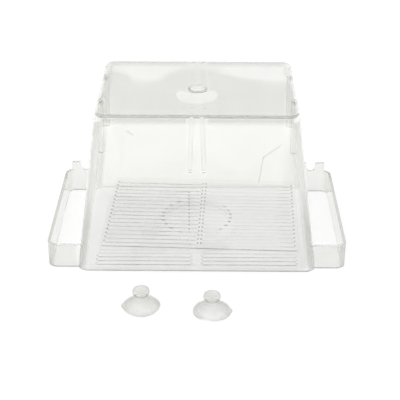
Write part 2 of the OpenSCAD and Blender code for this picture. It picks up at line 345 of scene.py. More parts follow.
material, tree = new_material("white_table")
rays = add(tree, "ShaderNodeLightPath").outputs
seen = calc(tree, "MAXIMUM", rays["Is Camera Ray"], rays["Is Glossy Ray"])
seen = calc(tree, "MAXIMUM", seen, rays["Is Transmission Ray"])
paint = add(tree, "ShaderNodeBsdfPrincipled",
            {"Base Color": TABLE_WHITE, "Roughness": 0.55, "Specular IOR Level": 0.2,
             "Emission Color": (1, 1, 1, 1), "Emission Strength": times(tree, seen, TABLE_GLOW)})
finish_material(tree, Surface=paint.outputs[0])
table.data.materials.append(material)
print("table made,", 2 * TABLE_HALF, "m wide")

# %% World
TENT_TOP = 22.06     # elevation in degrees where the white tent ends
TENT_GREY = 0.45     # how bright the room is just above it
BAND_TOP = 28.0      # elevation where that dark band ends
ROOM_GREY = 0.58     # how bright the room is above the band
CEILING = 58.0       # elevation above which the ceiling lamp fills the view
OVERHEAD = 1.1       # how bright it is straight above
TENT_SOFT, BAND_SOFT, CEILING_SOFT = 0.0002, 0.03, 0.1     # how soft each change is, in sines

tent_edge, band_edge, ceiling_edge = (math.sin(math.radians(a)) for a in (TENT_TOP, BAND_TOP, CEILING))
SKY = ((tent_edge - TENT_SOFT, 1.0), (tent_edge + TENT_SOFT, TENT_GREY),
       (band_edge - BAND_SOFT, TENT_GREY), (band_edge, ROOM_GREY),
       (ceiling_edge - CEILING_SOFT, ROOM_GREY), (ceiling_edge, 1.0), (1.0, OVERHEAD))

world = bpy.data.worlds.new("studio")
bpy.context.scene.world = world
world.use_nodes = True
tree = world.node_tree
tree.nodes.clear()
height_of_view = axes_of(tree, add(tree, "ShaderNodeTexCoord").outputs["Generated"])[2]
ramp = add(tree, "ShaderNodeValToRGB", {0: height_of_view})
ramp.color_ramp.interpolation = "LINEAR"
stops = ramp.color_ramp.elements
for number, (height, value) in enumerate(SKY):
    stop = stops[number] if number < 2 else stops.new(height)
    stop.position, stop.color = height, (value, value, value, 1)
room = add(tree, "ShaderNodeBackground", {"Color": ramp.outputs[0], "Strength": 1.0})
add(tree, "ShaderNodeOutputWorld", {"Surface": room.outputs[0]})
set_out(tree)
print("world made: white below", TENT_TOP, "degrees")

# %% Lamps
LAMP_AIM = (0, 0, 0.03)
LAMPS = (("softbox", (-0.25, -0.35, 1.15), 0.8, 3.2),     # name, place, size in metres, power in watts
         ("fill", (0.9, -0.2, 0.8), 0.7, 0.8))


def soft_lamp(name, at, size, power):
    """A square area lamp that looks at the object."""
    lamp = bpy.data.lights.new(name, "AREA")
    lamp.size, lamp.energy = size, power
    holder = bpy.data.objects.new(name, lamp)
    holder.location = at
    holder.rotation_euler = (Vector(LAMP_AIM) - Vector(at)).to_track_quat("-Z", "Y").to_euler()
    bpy.context.scene.collection.objects.link(holder)


for lamp in LAMPS:
    soft_lamp(*lamp)

# %% [markdown]
# ## Moulded skin
# No moulded sheet is truly flat. It swells slowly where it cooled and has a faint grain
# from the mould. The tub and the two sheets share this skin, so it is one node group
# with named inputs. It reads the object's own coordinates and gives a height for the
# Bump node and a roughness, which each material joins itself.

# %% Moulded skin group
SWELL_SCALE, GRAIN_SCALE = 22.0, 900.0     # how fine each noise is, in waves per metre
SKIN_DEPTH = 0.4 * MM                      # bump distance of the skin

skin, given, gives = new_group(
    "moulded_skin",
    [("Position", "NodeSocketVector", None), ("Swell", "NodeSocketFloat", 0.15),
     ("Grain", "NodeSocketFloat", 0.0), ("Haze", "NodeSocketFloat", 0.0)],
    [("Height", "NodeSocketFloat"), ("Roughness", "NodeSocketFloat")],
)
swell = noise(skin, given.outputs["Position"], SWELL_SCALE, detail=1.0, roughness=0.4)
grain = noise(skin, given.outputs["Position"], GRAIN_SCALE, detail=2.0)
height = plus(skin, times(skin, swell, given.outputs["Swell"]), times(skin, grain, given.outputs["Grain"]))
join(skin, height, gives.inputs["Height"])
join(skin, times(skin, grain, given.outputs["Haze"]), gives.inputs["Roughness"])
set_out(skin)


def skin_of(tree, spot, **settings):
    """The shared skin in a material: its height and its roughness at a point."""
    node = add(tree, "ShaderNodeGroup", dict(settings, Position=spot), node_tree=skin)
    return node.outputs["Height"], node.outputs["Roughness"]


print("group made:", skin.name, "with", len(skin.nodes), "nodes")

# %% [markdown]
# ## Where the edges are
# On clear plastic the eye reads edges: each one is rounded by the mould, and the round
# throws the light aside, so it looks darker. The Bevel node tells how much the surface
# would lean if its edges were rounded, and compared with the true normal that is a mask
# of every edge. The true normal also tells which faces look up, and which lie on a
# rounded corner: there no axis has the normal to itself.

# %% Edge finder group
EDGE_FROM, EDGE_FULL = 0.999, 0.80       # how far both normals agree where an edge starts and is full
ROUND_FROM, ROUND_FULL = 0.985, 0.90     # the normal's largest part where a corner starts and is full

edges, given, gives = new_group(
    "edge_finder", [("Radius", "NodeSocketFloat", 0.5 * MM)],
    [("Edge", "NodeSocketFloat"), ("Up", "NodeSocketFloat"), ("Round", "NodeSocketFloat")])
rounded = add(edges, "ShaderNodeBevel", {"Radius": given.outputs["Radius"]}, samples=4)
true_normal = add(edges, "ShaderNodeNewGeometry").outputs["True Normal"]
agree = calc(edges, "ABSOLUTE", vector_calc(edges, "DOT_PRODUCT", rounded.outputs[0], true_normal))
join(edges, step(edges, agree, EDGE_FROM, EDGE_FULL), gives.inputs["Edge"])
own = add(edges, "ShaderNodeVectorTransform", {0: true_normal}, vector_type="NORMAL",
          convert_from="WORLD", convert_to="OBJECT")
parts = axes_of(edges, own.outputs[0])
join(edges, parts[2], gives.inputs["Up"])
sizes = [calc(edges, "ABSOLUTE", part) for part in parts]
largest = calc(edges, "MAXIMUM", calc(edges, "MAXIMUM", sizes[0], sizes[1]), sizes[2])
join(edges, step(edges, largest, ROUND_FROM, ROUND_FULL), gives.inputs["Round"])
set_out(edges)
print("group made:", edges.name, "with", len(edges.nodes), "nodes")

# %% [markdown]
# ## Clear plastic
# Real walls bend light, so the tub is glass with the index of polystyrene, and its own thickness makes dark
# outlines at corners and edges; painted shade in its colour makes them darker still. Bent lamp light would
# need thousands of samples, so for shadow and diffuse rays the plastic is a tinted pane that lets the light
# straight through. A ray that has been mirrored many times inside a wall goes straight on as well, since it
# would bring back nothing but noise.
#
# The material is built in four steps: the masks that say where a point lies, the relief of the closed end,
# the tints of painted shade and light, and the shader that they all feed.

# %% Tub plastic: where a point lies
END_FROM, END_FULL = 100 * MM, 103 * MM      # height above which a point is on the closed end
EAR_FROM, EAR_FULL = 78 * MM, 81 * MM        # distance to the side past which a point is on an ear
EDGE_RADIUS = 1.0 * MM
UP_FROM, UP_FULL = 0.9, 0.97                 # upward part of the normal where a face starts to count as top

tub_plastic, tree = new_material("clear_tub")
spot = add(tree, "ShaderNodeTexCoord").outputs["Object"]
x, y, z = axes_of(tree, spot)
found = add(tree, "ShaderNodeGroup", {"Radius": EDGE_RADIUS}, node_tree=edges).outputs
corner, up = found["Round"], found["Up"]
beside = calc(tree, "ABSOLUTE", x)
at_end = step(tree, z, END_FROM, END_FULL)
looks_up = step(tree, up, UP_FROM, UP_FULL)
on_ear = step(tree, beside, EAR_FROM, EAR_FULL)
print("masks ready:", len(tree.nodes), "nodes")

# %% [markdown]
# The closed end isn't flat. It is waved across its width, which shows only in what it
# mirrors: the line where the light tent ends runs over it in a long curve. Round the
# gate it bulges so little that only its mirror image shows it. There the normal is
# written down straight: the front half leans to the front, and the rest is taken as flat.

# %% Tub plastic: waves of the closed end
WAVE_REACH = 110 * MM      # the waves grow longer with the distance from this far to the left
WAVE_TURNS = 7.854         # how fast they follow each other
WAVE_SLOPE = 5.8           # how steep they are, against the bump distance
TUB_SWELL = 0.15

stretch = calc(tree, "LOGARITHM", calc(tree, "MULTIPLY_ADD", x, 1 / WAVE_REACH, 1.0), math.e)
wave = calc(tree, "COSINE", times(tree, stretch, WAVE_TURNS))
waved = times(tree, wave, times(tree, y, WAVE_SLOPE))
swell_height, _ = skin_of(tree, spot, Swell=TUB_SWELL)
print("waves ready:", len(tree.nodes), "nodes")

# %% Tub plastic: bulge round the gate
GATE_R = 5.8 * MM                        # radius of the gate ring
GATE_KEEP, GATE_SOFT = 0.8 * MM, 0.3 * MM     # this far round the ring the true relief is kept
BULGE_AT, BULGE_R, BULGE_SOFT = (-0.4 * MM, -12.6 * MM, 0), 13 * MM, 0.6 * MM
BULGE_FRONT = (-2.5 * MM, -7.5 * MM)     # where its front half starts and is full
BULGE_LEAN = 0.045                       # slope of the front half
SMOOTH_R, SMOOTH_SOFT = 27 * MM, 1 * MM  # how far round the gate the waves are left out
LEVEL_FROM, LEVEL_FULL = 0.93, 0.95      # upward part of a normal that counts as level
END_FLAT = 102 * MM                      # height where the level part is full

bulge = times(tree, near_point(tree, spot, BULGE_AT, BULGE_R, BULGE_SOFT), step(tree, y, *BULGE_FRONT))
outward = calc(tree, "MULTIPLY_ADD", calc(tree, "GREATER_THAN", up, 0.0), 2.0, -1.0)
leaning = vector(tree, 0.0, times(tree, bulge, -BULGE_LEAN), 1.0)
leaning = vector_calc(tree, "SCALE", leaning, scale=outward)
written = add(tree, "ShaderNodeVectorTransform", {0: leaning}, vector_type="NORMAL",
              convert_from="OBJECT", convert_to="WORLD")
past_gate = opposite(tree, near_point(tree, spot, (0, 0, 0), GATE_R + GATE_KEEP, GATE_SOFT))
is_level = step(tree, calc(tree, "ABSOLUTE", up), LEVEL_FROM, LEVEL_FULL)
around = times(tree, near_point(tree, spot, (0, 0, 0), SMOOTH_R, SMOOTH_SOFT), past_gate, is_level,
               step(tree, z, END_FROM, END_FLAT))
shading_normal = add(tree, "ShaderNodeNewGeometry").outputs["Normal"]
base_normal = blend(tree, around, shading_normal, written.outputs[0], "VECTOR")
height = times(tree, plus(tree, swell_height, waved), looks_up)
bump = add(tree, "ShaderNodeBump",
           {"Strength": 1.0, "Distance": SKIN_DEPTH, "Normal": base_normal, "Height": height})
print("relief ready:", len(tree.nodes), "nodes")

# %% [markdown]
# The colour starts as that of a clean wall, and one zone after the other is tinted. Most tints are painted
# shade, darkening the sides, the top and its front strip, the shoulder of the closed end, the ears, the
# corners, the rim's foot, strips over the ribs and every edge. The front rim, the upper sides and the bulge
# get painted light, a tint lighter than the wall, and a random cloud varies the tone.

# %% Tub plastic: colours
WALL, CLOUD = (0.966, 0.968, 0.955, 1), (0.950, 0.953, 0.938, 1)
# Apart from the first two, the plastic's own colour and a random cloudy tone, these tints are painted: the
# darker ones are painted shade and the two lighter ones painted light.
RIGHT_SHADE, LEFT_SHADE = (0.865, 0.867, 0.855, 1), (0.945, 0.947, 0.934, 1)
TOP_SHADE, BROW_SHADE = (0.925, 0.927, 0.915, 1), (0.84, 0.845, 0.825, 1)
SHOULDER_SHADE, EAR_SHADE = (0.75, 0.755, 0.735, 1), (0.855, 0.858, 0.838, 1)
CORNER_SHADE, PAINTED_LIGHT = (0.85, 0.855, 0.83, 1), (1.0, 1.0, 0.985, 1)
BULGE_HIGHLIGHT, FOOT_SHADE = (0.99, 0.99, 0.975, 1), (0.90, 0.90, 0.89, 1)
RIB_SHADE, EDGE_SHADE = (0.92, 0.925, 0.91, 1), (0.66, 0.66, 0.64, 1)
print("clean wall:", WALL[:3], "and its darkest edge:", EDGE_SHADE[:3])

# %% Tub plastic: zones of painted shade and light
CLOUD_SCALE, CLOUD_BAND = 55.0, (0.42, 0.70)    # waves per metre, and where in the noise a cloud is full
# Where each zone starts and where it is full: across the box, from front to back, and in height.
SIDE_FROM, SIDE_FULL = 60 * MM, 72 * MM
BROW_BAND, FRONT_RIM_BAND = (-42.5 * MM, -44.5 * MM), (38 * MM, 30 * MM)
SHOULDER_RISE, SHOULDER_LEAN = (100.2 * MM, 103 * MM), (0.9, 0.6)
FOOT_RISE = (3 * MM, 2 * MM)

cloud = noise(tree, spot, CLOUD_SCALE, detail=4.0, roughness=0.6)
brow = times(tree, looks_up, step(tree, y, *BROW_BAND), at_end)
shoulder = times(tree, step(tree, z, *SHOULDER_RISE, smooth=False), step(tree, up, *SHOULDER_LEAN))
front_rim = times(tree, corner, at_end, step(tree, y, *FRONT_RIM_BAND))
foot = times(tree, step(tree, z, *FOOT_RISE), opposite(tree, on_ear))
# Painted shade darkens the sides, the top and its front strip, the shoulder of the closed end, the ears,
# the corners and the rim's foot; painted light brightens the bulge and the front rim.
zones = [
    (step(tree, cloud, *CLOUD_BAND), CLOUD),
    (step(tree, x, SIDE_FROM, SIDE_FULL), RIGHT_SHADE),
    (step(tree, x, -SIDE_FROM, -SIDE_FULL), LEFT_SHADE),
    (looks_up, TOP_SHADE),
    (brow, BROW_SHADE),
    (shoulder, SHOULDER_SHADE),
    (on_ear, EAR_SHADE),
    (corner, CORNER_SHADE),
    (times(tree, bulge, at_end), BULGE_HIGHLIGHT),
    (front_rim, PAINTED_LIGHT),
    (foot, FOOT_SHADE),
]
print("plain zones:", len(zones))

# %% Tub plastic: painted shade along ribs and edges, and painted light on the upper sides
# Each strip has a left end, a right end and the share of the tint that it takes.
RIB_STRIPS = ((2.3 * MM, 6.2 * MM, 0.8), (-6.4 * MM, -4.2 * MM, 0.4), (-58.5 * MM, -54.9 * MM, 0.3))
BACK_WALL, STRIP_RISE = (30 * MM, 32 * MM), (20 * MM, 55 * MM, 3 * MM)
STRIP_SOFT = 0.3 * MM
UPPER_SIDE, UPPER_SIDE_RISE = (60 * MM, 64 * MM), (30 * MM, 60 * MM)
UPPER_RIBS, UPPER_RIBS_RISE = (-6.8 * MM, 6.8 * MM, 0.8 * MM), (60 * MM, 70 * MM)
UPPER_RIBS_SHARE = 0.45

# Painted shade in strips over the back wall's ribs, and on every edge.
back_wall = times(tree, step(tree, y, *BACK_WALL), between(tree, z, *STRIP_RISE))
for low, high, share in RIB_STRIPS:
    strip = times(tree, back_wall, between(tree, x, low, high, STRIP_SOFT))
    zones.append((times(tree, strip, share), RIB_SHADE))
zones.append((found["Edge"], EDGE_SHADE))
# Painted light on the upper sides and on the middle ribs above the strips.
upper_side = times(tree, step(tree, beside, *UPPER_SIDE), step(tree, z, *UPPER_SIDE_RISE),
                   opposite(tree, on_ear))
upper_ribs = times(tree, between(tree, x, *UPPER_RIBS), step(tree, z, *UPPER_RIBS_RISE),
                   UPPER_RIBS_SHARE, opposite(tree, looks_up))
zones.append((plus(tree, upper_side, upper_ribs), PAINTED_LIGHT))
color = WALL
for mask, tint in zones:
    color = blend(tree, mask, color, tint)
print("tints mixed:", len(zones), "zones")

# %% Tub plastic: small dark marks and the gate ring's painted shade
MARK = (0.45, 0.45, 0.43, 1)
FIN_ENDS = [(x0, y0, 0) for x0 in (-62.6 * MM, 62.6 * MM) for y0 in (-20.4 * MM, 20.4 * MM)]
SCRATCHES = (((-43.5, 96.6), (-39.9, 93.7)), ((52.8, 87.7), (41.8, 79.5)), ((41.8, 79.5), (39.3, 62.7)))
SCRATCH_WIDTH, SCRATCH_SHARE = 0.5 * MM, 0.35
RING_INSIDE, RING_OUTSIDE = 0.7 * MM, 0.3 * MM       # how far the gate's dark ring reaches to each side
RING_FRONT, FRONT_WALL = (3 * MM, 0), (-40 * MM, -42 * MM)
DOT_R, DOT_SOFT = 0.7 * MM, 0.8 * MM                 # of the dark dot at each fin's end

# The gate's ring is painted shade, darkened on its front half only, where the bead turns the light aside.
gate_ring = near_ring(tree, spot, (0, 0, 0), GATE_R - RING_INSIDE, GATE_R + RING_OUTSIDE, GATE_SOFT)
marks = times(tree, gate_ring, at_end, step(tree, y, *RING_FRONT))
for centre in FIN_ENDS:
    marks = plus(tree, marks, times(tree, near_point(tree, spot, centre, DOT_R, DOT_SOFT), at_end))
front_wall = step(tree, y, *FRONT_WALL)
for ends in SCRATCHES:
    a, b = ((MM * x0, 0, MM * z0) for x0, z0 in ends)
    scratch = near_segment(tree, spot, a, b, SCRATCH_WIDTH, (1, 0, 1))
    marks = plus(tree, marks, times(tree, scratch, front_wall, SCRATCH_SHARE))
color = blend(tree, marks, color, MARK)
print("marks made:", 1 + len(FIN_ENDS) + len(SCRATCHES))

# %% Tub plastic: shader
INDEX = 1.5                                       # of refraction, about that of polystyrene
PANE = (0.92, 0.92, 0.92, 1)                      # what the pane for lamp light lets through
MOST_MIRRORS = 2.5                                # mirrored more often than this, a ray goes straight on
DEPTH_COLOR, DEPTH_DENSITY = (0.60, 0.62, 0.46, 1), 9.0
FROST, FROST_LOST = 0.5, 0.8                      # roughness of a corner, and the share lost at the end
CLEARNESS = 0.97

frosted = times(tree, corner, opposite(tree, times(tree, at_end, FROST_LOST)))
glass = add(tree, "ShaderNodeBsdfPrincipled",
            {"Base Color": color, "Roughness": times(tree, frosted, FROST), "IOR": INDEX,
             "Normal": bump.outputs[0], "Transmission Weight": CLEARNESS})
pane = add(tree, "ShaderNodeBsdfTransparent", {"Color": PANE})
rays = add(tree, "ShaderNodeLightPath").outputs
straight = calc(tree, "MAXIMUM", rays["Is Shadow Ray"], rays["Is Diffuse Ray"])
straight = calc(tree, "MAXIMUM", straight, calc(tree, "GREATER_THAN", rays["Glossy Depth"], MOST_MIRRORS))
mix = add(tree, "ShaderNodeMixShader", {0: straight, 1: glass.outputs[0], 2: pane.outputs[0]})
depth = add(tree, "ShaderNodeVolumeAbsorption", {"Color": DEPTH_COLOR, "Density": DEPTH_DENSITY})
finish_material(tree, Surface=mix.outputs[0], Volume=depth.outputs[0])
print("clear plastic made:", len(tree.nodes), "nodes")

# %% Dress the tub
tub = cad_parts["tub"]
tub.data.materials.clear()
tub.data.materials.append(tub_plastic)
print("tub dressed:", len(tub.data.polygons), "triangles")

# %% [markdown]
# ## Sizes of the slotted sheets
# The lid and the separator are both a rounded sheet with two columns of equal slots. The
# separator is built again below from its sizes, and both sheets have a material that
# marks the slots' edges, so the sizes are written down once for both uses. The separator
# lies loose and a little turned on the lid.

# %% Sheet sizes
SEPARATOR = {
    "Width": 134.19 * MM, "Depth": 97.406 * MM, "Corner": 4 * MM, "Plate": 2 * MM,
    "Skirt Height": 4 * MM, "Skirt Thickness": 1.4 * MM,
    "Slots": 17, "Pitch": 5.2 * MM, "Slot Width": 2.4 * MM, "Bar": 3.4 * MM, "Side Border": 3.9 * MM,
    "Feet": 5, "Foot Pitch": 20.8 * MM, "Foot Diameter": 2.6 * MM,
    "Place": (3.2 * MM, 1.0 * MM, 7.1 * MM), "Turn": (0.0, 0.0, math.radians(-2.3)),
}
LID = {"First": -53 * MM, "Slots": 21, "Pitch": 4.6 * MM, "Slot Width": 2.2 * MM,
       "Reach": (4 * MM, 66 * MM), "Front": -55.5 * MM, "Top": 3 * MM}
low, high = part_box("separator")
print("separator in the frame, mm:", [round(1000 * v, 2) for v in low], [round(1000 * v, 2) for v in high])

# %% [markdown]
# ## Thin slotted sheets
# Bent light in a hundred slot walls would only be noise, so a sheet is a veil: it lets most light straight
# through and adds a little grey of its own. In place of the light that the slot walls would bend aside, the
# veil is denser in a thin strip before each slot and at the slots' ends: these strips are painted shade.
# They come from the same sizes as the slots, and not from the Bevel node, because a strip that follows a
# formula stays crisp at any distance.

# %% Veil values
STRIP = 1.2 * MM                     # width of the denser strips
WIDE = 2.4 * MM                      # width of the wider strips
VEIL = 0.02                          # cover of a plain face
# The strips before the slots and at their ends are painted shade.
SLOT_SHADE = 0.30                          # cover of the strip before each slot
VEIL_GREY, VEIL_SHINE = (0.10, 0.098, 0.10, 1), 0.3
UNEVEN_SCALE = 60.0                  # waves per metre of the noise that makes the marks uneven
UNEVEN_BAND = (0.3, 0.7)             # the part of that noise that counts
UNEVEN_LOW, UNEVEN_HIGH = 0.7, 1.3   # the least and the most that it leaves of a mark
VEIL_SKIN = {"Swell": 0.5, "Grain": 0.02, "Haze": 0.6}
FACE_HALF, FACE_SOFT = 0.12 * MM, 0.04 * MM     # how far from the top face a mark may be
RIM_SEEN, RIM_FULL = 1.2 * MM, 0.8 * MM         # how far inside the front edge it starts and is full
print("a veil covers", VEIL, "of what is behind it, and", SLOT_SHADE, "at a slot")


# %% Painted shade on a veil
def slot_marks(tree, y, beside, rows, reach, dash):
    """Masks of the painted shade in strips before the slots and at their ends, and of a wider strip.

    rows is the first slot's centre, the pitch, the slot's width and the number of slots,
    reach is where the slots begin and end to each side, and dash is the cover of their ends.
    """
    first, pitch, slot, count = rows
    start = first - slot / 2
    end = start + (count - 1) * pitch + slot
    in_rows = between(tree, y, start - STRIP, end)
    lines = times(tree, stripes(tree, y, start - STRIP, pitch, STRIP), between(tree, beside, *reach),
                  in_rows, SLOT_SHADE)
    wide = times(tree, stripes(tree, y, start - (STRIP + WIDE) / 2, pitch, WIDE), in_rows)
    rungs = times(tree, stripes(tree, y, start, pitch, slot), between(tree, y, start, end))
    ends = 0.0
    for low, high in ((reach[0] - STRIP, reach[0]), (reach[1], reach[1] + STRIP)):
        ends = plus(tree, ends, times(tree, rungs, between(tree, beside, low, high), dash))
    return lines, ends, wide


def rim_of(tree, y, front, cover):
    """A mask of the painted shade on a sheet's front edge."""
    return step(tree, y, front + RIM_SEEN, front + RIM_FULL, 0.0, cover)


print("mark helpers ready")


# %% Veil material
def veil_material(name):
    """An empty veil with its place in the object, and the veil's own noise."""
    material, tree = new_material(name)
    spot = add(tree, "ShaderNodeTexCoord").outputs["Object"]
    uneven = step(tree, noise(tree, spot, UNEVEN_SCALE, detail=3.0), *UNEVEN_BAND,
                  UNEVEN_LOW, UNEVEN_HIGH, smooth=False)
    return material, tree, spot, uneven


def finish_veil(tree, spot, cover):
    """Makes the veil's shader, with its cover and the shared skin."""
    height, roughness = skin_of(tree, spot, **VEIL_SKIN)
    bump = add(tree, "ShaderNodeBump", {"Strength": 1.0, "Distance": SKIN_DEPTH, "Height": height})
    veil = add(tree, "ShaderNodeBsdfPrincipled",
               {"Base Color": VEIL_GREY, "IOR": INDEX, "Specular IOR Level": VEIL_SHINE,
                "Roughness": roughness, "Normal": bump.outputs[0], "Alpha": cover})
    finish_material(tree, Surface=veil.outputs[0])


def cover_of(tree, marks, z, top, uneven):
    """The veil's cover: its painted shade on the top face only, over a plain veil that is a little uneven.
    """
    on_top = between(tree, z, top - FACE_HALF, top + FACE_HALF, FACE_SOFT)
    return calc(tree, "MULTIPLY_ADD", times(tree, marks, on_top), uneven, VEIL)


print("veil helpers ready")

# %% Separator's veil
# The separator's lines before the slots, the slots' ends and the front edge are painted shade; the lines
# fade over the right half and partly come back at the right border.
FADE, FADE_AT = 0.92, (-8 * MM, 6 * MM)              # share of the lines lost on the right half, and where
REGAIN, REGAIN_AT = 0.45, (50 * MM, 58 * MM)         # share that comes back at the right border
DASH = 0.42                                          # cover of the slots' ends
RIM_COVER = 0.5                                      # cover of the front edge

sheet_face, tree, spot, uneven = veil_material("clear_separator")
frame_place = {"Vector": spot, "Location": (*SEPARATOR["Place"][:2], 0), "Rotation": SEPARATOR["Turn"]}
local = add(tree, "ShaderNodeMapping", frame_place, vector_type="TEXTURE")
x, y, z = axes_of(tree, local.outputs[0])
beside = calc(tree, "ABSOLUTE", x)
first = -(SEPARATOR["Slots"] - 1) * SEPARATOR["Pitch"] / 2
rows = (first, SEPARATOR["Pitch"], SEPARATOR["Slot Width"], SEPARATOR["Slots"])
reach = (SEPARATOR["Bar"] / 2, SEPARATOR["Width"] / 2 - SEPARATOR["Side Border"])
lines, ends, wide = slot_marks(tree, y, beside, rows, reach, DASH)
kept = plus(tree, step(tree, x, *FADE_AT, 1.0, 1.0 - FADE), step(tree, x, *REGAIN_AT, 0.0, REGAIN))
marks = plus(tree, times(tree, lines, kept), ends, rim_of(tree, y, -SEPARATOR["Depth"] / 2, RIM_COVER))
print("separator's slots marked:", SEPARATOR["Slots"], "in each column")

# %% Separator's veil: painted shade over the finger well
TICKS_AT, TICKS_R = (-0.5 * MM, -5 * MM, 0), 23.5 * MM     # a ring of short marks
TICKS_HALF, TICKS_SOFT, TICKS_COVER = 0.9 * MM, 0.5 * MM, 0.4
TICKS_BESIDE = (10 * MM, 16 * MM)                    # the ring is left out near the middle bar
SHADE_WIDTH = 0.8 * MM
SHADES = (((-6.5, 29.6), (-5.5, -26.9), 0.35),       # two faint straight lines, in millimetres, and
          ((-40.9, 29.6), (-6.5, 29.6), 0.25))       # the cover of each

# Painted shade: a ring of short dark marks where the finger well shows through the sheet, and two faint
# straight lines.
ring = near_ring(tree, spot, TICKS_AT, TICKS_R - TICKS_HALF, TICKS_R + TICKS_HALF, TICKS_SOFT)
ring = times(tree, ring, step(tree, beside, *TICKS_BESIDE), wide, TICKS_COVER)
marks = plus(tree, marks, ring)
for a, b, share in SHADES:
    a, b = ((MM * x0, MM * y0, 0) for x0, y0 in (a, b))
    shade = near_segment(tree, spot, a, b, SHADE_WIDTH, (1, 1, 0))
    marks = plus(tree, marks, times(tree, shade, share))
top = SEPARATOR["Place"][2] + SEPARATOR["Skirt Height"]
finish_veil(tree, spot, cover_of(tree, marks, z, top, uneven))
print("separator's veil made:", len(tree.nodes), "nodes")

# %% Lid's veil
BACK_SHARE = 0.12                # share of the marks that is left under the separator
BACK_BAND = (10 * MM, 16 * MM)   # how far behind the first slot that begins
LID_DASH, LID_RIM = 0.2, 0.1     # cover of the slots' ends and of the front edge

lid_face, tree, spot, uneven = veil_material("clear_lid")
x, y, z = axes_of(tree, spot)
beside = calc(tree, "ABSOLUTE", x)
rows = (LID["First"], LID["Pitch"], LID["Slot Width"], LID["Slots"])
start = LID["First"] - LID["Slot Width"] / 2
# The lid's lines before the slots, the slots' ends and the front edge are painted shade, weaker under the
# separator.
lines, ends, _ = slot_marks(tree, y, beside, rows, LID["Reach"], LID_DASH)
share = step(tree, y, *(start + distance for distance in BACK_BAND), 1.0, BACK_SHARE)
marks = times(tree, plus(tree, lines, ends), share)
marks = plus(tree, marks, rim_of(tree, y, LID["Front"], LID_RIM))
finish_veil(tree, spot, cover_of(tree, marks, z, LID["Top"], uneven))
print("lid's veil made:", len(tree.nodes), "nodes")

# %% [markdown]
# ## The lid
# The lid's solid is right as it is, but its edges are sharp, and a moulded edge never
# is. The CAD mesh is left alone: a copy is merged, its flat triangles are joined, and a
# Bevel modifier rounds each sharp edge.

# %% Rounded copy of a CAD node
MERGE = 0.002 * MM                      # points closer than this are merged
FLAT = math.radians(0.6)                # faces that lean less than this are one face
SHARP = math.radians(40)                # edges sharper than this are rounded
CREASE = math.radians(30)               # edges sharper than this are shaded as creases
SHEET_ROUND = 0.15 * MM


def clean_mesh(mesh):
    """Merges a mesh's points and joins its flat faces, and counts the edges left open."""
    work = bmesh.new()
    work.from_mesh(mesh)
    bmesh.ops.remove_doubles(work, verts=work.verts, dist=MERGE)
    bmesh.ops.dissolve_limit(work, angle_limit=FLAT, verts=work.verts, edges=work.edges)
    loose = sum(1 for edge in work.edges if not edge.is_manifold)
    work.to_mesh(mesh)
    work.free()
    return loose


def round_edges(piece, width):
    """Rounds the sharp edges of a piece."""
    bevel = piece.modifiers.new("round", "BEVEL")
    bevel.width, bevel.segments = width, 2
    bevel.limit_method, bevel.angle_limit = "ANGLE", SHARP
    apply_modifiers(piece)
    piece.data.shade_smooth()
    piece.data.set_sharp_from_angle(angle=CREASE)
    return piece


lid_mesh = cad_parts["lid"].data.copy()
print("open edges in the lid:", clean_mesh(lid_mesh))
lid_mesh.materials.clear()
lid_mesh.materials.append(lid_face)
lid = round_edges(new_piece("lid_sheet", lid_mesh), SHEET_ROUND)
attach(lid, "lid")
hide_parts("lid")
report(lid)

# %% [markdown]
# ## The separator
# The separator is all rule: a rounded plate, a skirt, and two rows of equal slots with
# small feet beside them. Geometry Nodes suit that: one slot is drawn once, copied along
# a line and cut out of the plate, and every size is a named input of the tree.

# %% Helpers for geometry trees
SOCKETS = {"FLOAT": "NodeSocketFloat", "INT": "NodeSocketInt", "VECTOR": "NodeSocketVector",
           "MATERIAL": "NodeSocketMaterial"}


def new_geometry_tree(name, **inputs):
    """A geometry node tree with one geometry output, and with named inputs of each kind."""
    tree = bpy.data.node_groups.new(name, "GeometryNodeTree")
    for kind, labels in inputs.items():
        for label in labels:
            tree.interface.new_socket(label, in_out="INPUT", socket_type=SOCKETS[kind])
    tree.interface.new_socket("Geometry", in_out="OUTPUT", socket_type="NodeSocketGeometry")
    return tree, add(tree, "NodeGroupInput"), add(tree, "NodeGroupOutput")


def run_tree(name, tree, values):
    """A piece made by a geometry tree: inputs are set by identifier, then it is made plain mesh."""
    piece = new_piece(name, bpy.data.meshes.new(name))
    modifier = piece.modifiers.new("build", "NODES")
    modifier.node_group = tree
    for item in tree.interface.items_tree:
        if item.in_out == "INPUT" and item.name in values:
            modifier[item.identifier] = values[item.name]
    return apply_modifiers(piece)


print("geometry helpers ready")

# %% Rounded slab tree
CORNER_STEPS = 8                # points on each rounded corner
SAME_PLACE = 0.001 * MM         # points closer than this are one point

slab, given, made = new_geometry_tree("rounded_slab", FLOAT=["Width", "Depth", "Corner", "Height"])
size = given.outputs
outline = add(slab, "GeometryNodeCurvePrimitiveQuadrilateral",
              {"Width": size["Width"], "Height": size["Depth"]})
corner = add(slab, "GeometryNodeFilletCurve",
             {"Curve": outline.outputs[0], "Radius": size["Corner"], "Count": CORNER_STEPS}, mode="POLY")
sheet = add(slab, "GeometryNodeFillCurve", {0: corner.outputs[0]}, mode="NGONS")
lift = add(slab, "GeometryNodeExtrudeMesh",
           {"Mesh": sheet.outputs[0], "Offset Scale": size["Height"], "Individual": False}, mode="FACES")
under = add(slab, "GeometryNodeFlipFaces", {0: sheet.outputs[0]})
both = add(slab, "GeometryNodeJoinGeometry", {0: lift.outputs["Mesh"]})
join(slab, under.outputs[0], both.inputs[0])
weld = add(slab, "GeometryNodeMergeByDistance", {0: both.outputs[0], "Distance": SAME_PLACE})
join(slab, weld.outputs[0], made.inputs[0])
set_out(slab)
print("tree made:", slab.name, "with", len(slab.nodes), "nodes")

